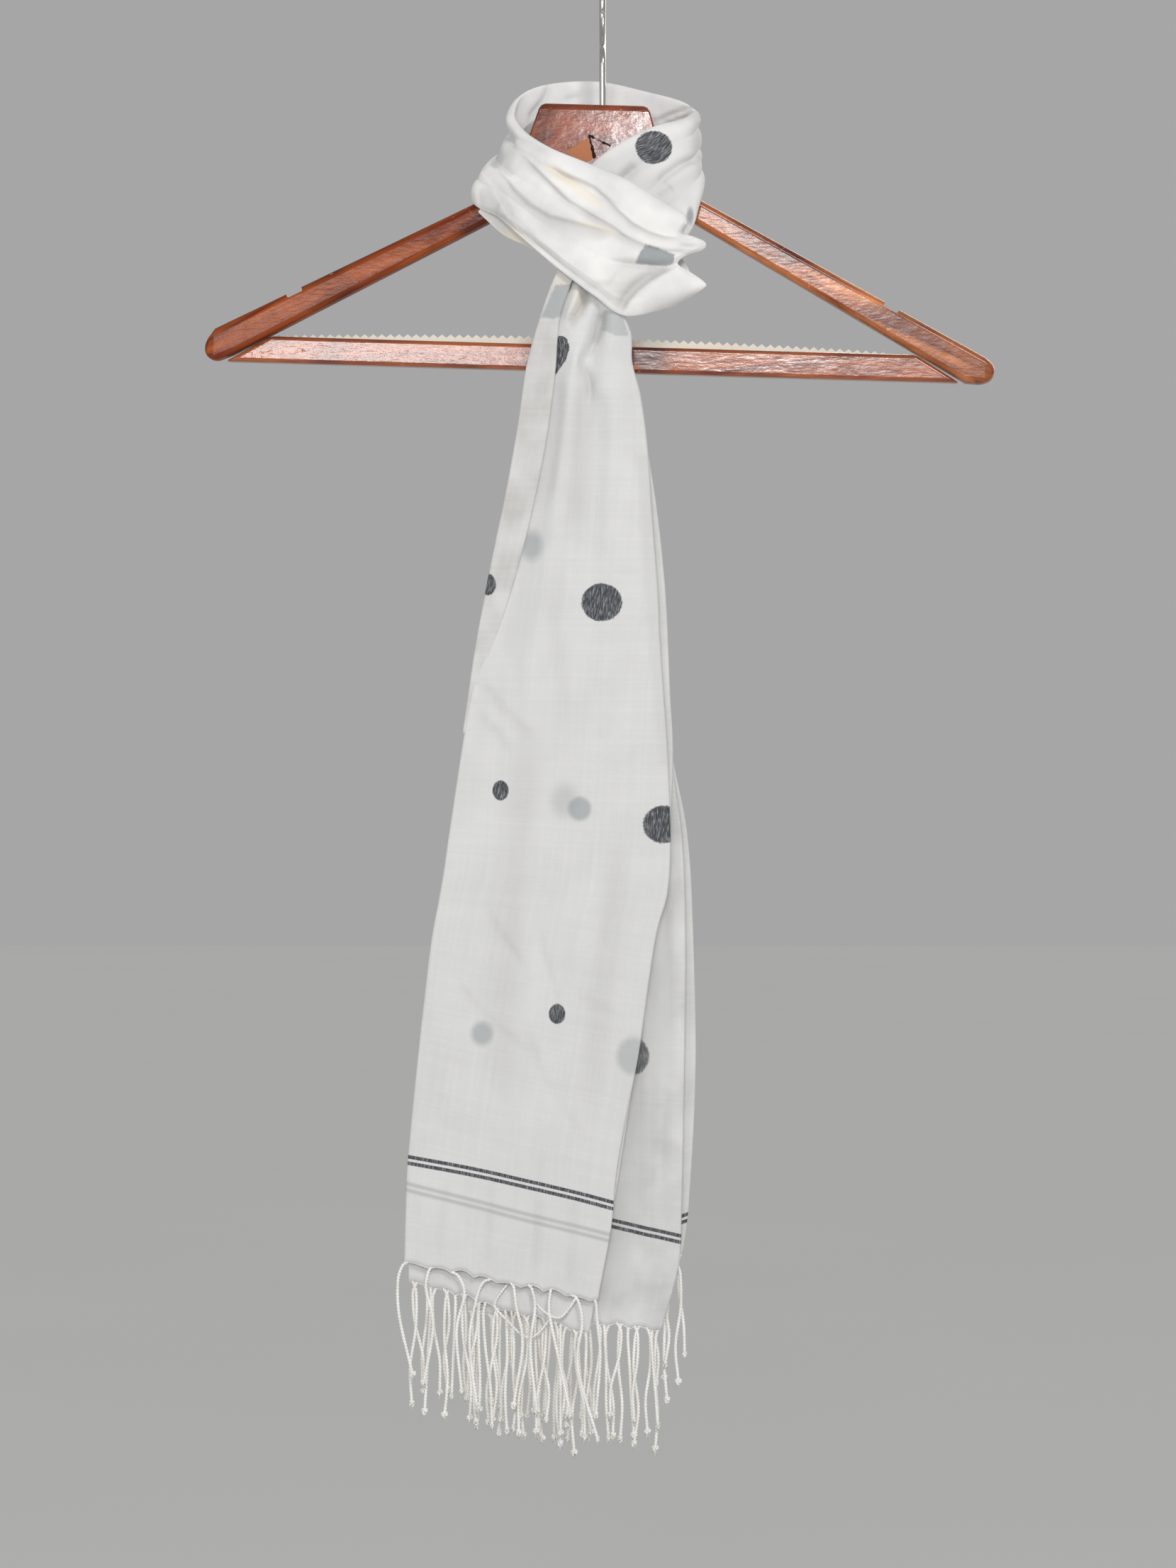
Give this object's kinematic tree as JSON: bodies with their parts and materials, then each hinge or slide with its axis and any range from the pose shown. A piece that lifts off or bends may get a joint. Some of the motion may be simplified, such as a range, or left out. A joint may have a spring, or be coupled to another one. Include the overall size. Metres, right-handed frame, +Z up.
{
  "type": "cotton scarf looped on a wooden clothes hanger",
  "caption": "Sheer woven scarf with a twisted fringe, folded lengthwise and looped round the neck of a wooden hanger with a trouser bar and wire hook.",
  "frame": {"origin": "the inside of the hook's crown, where a rail carries the hanger", "axes": "+Z up, the front of the scarf and the hook's tip towards -Y, the rail runs along X"},
  "size_m": [0.4452, 0.0628, 0.8346],
  "materials": {
    "cotton_voile": "matte, sheer plain weave",
    "cotton_fringe": "twisted matte yarn",
    "lacquered_wood": "glossy red-brown lacquer, worn",
    "felt": "matte felt with a pinked edge",
    "hook_steel": "bright drawn wire"
  },
  "bodies": {
    "root": {"hanger_half_left": "lacquered_wood", "hanger_half_right": "lacquered_wood", "trouser_bar": "lacquered_wood", "pinked_strip": "felt", "hook_wire": "hook_steel", "band_front": "cotton_voile", "collar_back": "cotton_voile", "collar_right": "cotton_voile", "loop_back": "cotton_voile", "tail_front": "cotton_voile", "tail_side_fold": "cotton_voile", "tail_inner": "cotton_voile", "tail_back": "cotton_voile", "tail_back_edge": "cotton_voile", "fringe_front": "cotton_fringe", "fringe_inner": "cotton_fringe", "fringe_back": "cotton_fringe", "fringe_back_edge": "cotton_fringe"}
  },
  "joints": []
}
